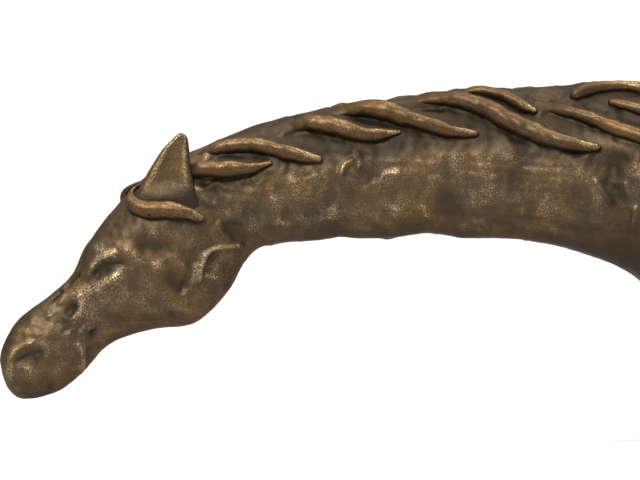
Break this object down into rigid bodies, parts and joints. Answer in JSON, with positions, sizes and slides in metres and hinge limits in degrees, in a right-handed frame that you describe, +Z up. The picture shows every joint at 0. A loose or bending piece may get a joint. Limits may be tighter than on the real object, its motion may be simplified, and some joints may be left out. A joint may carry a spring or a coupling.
{
  "type": "horse sculpture",
  "caption": "Bronze horse bust with a long level neck, lowered head and a mane of rolled locks, cut flat below the breast, where it stands",
  "frame": {"origin": "middle of the flat underside, on the surface that the bust stands on", "axes": "+X runs from the muzzle towards the shoulders, along the neck; +Z is up; the horse's left side faces -Y"},
  "size_m": [0.3854, 0.0912, 0.1294],
  "materials": {
    "bronze": "satin, brown patina rubbed to gold on raised edges"
  },
  "bodies": {
    "root": {"horse_bust": "bronze"}
  },
  "joints": []
}
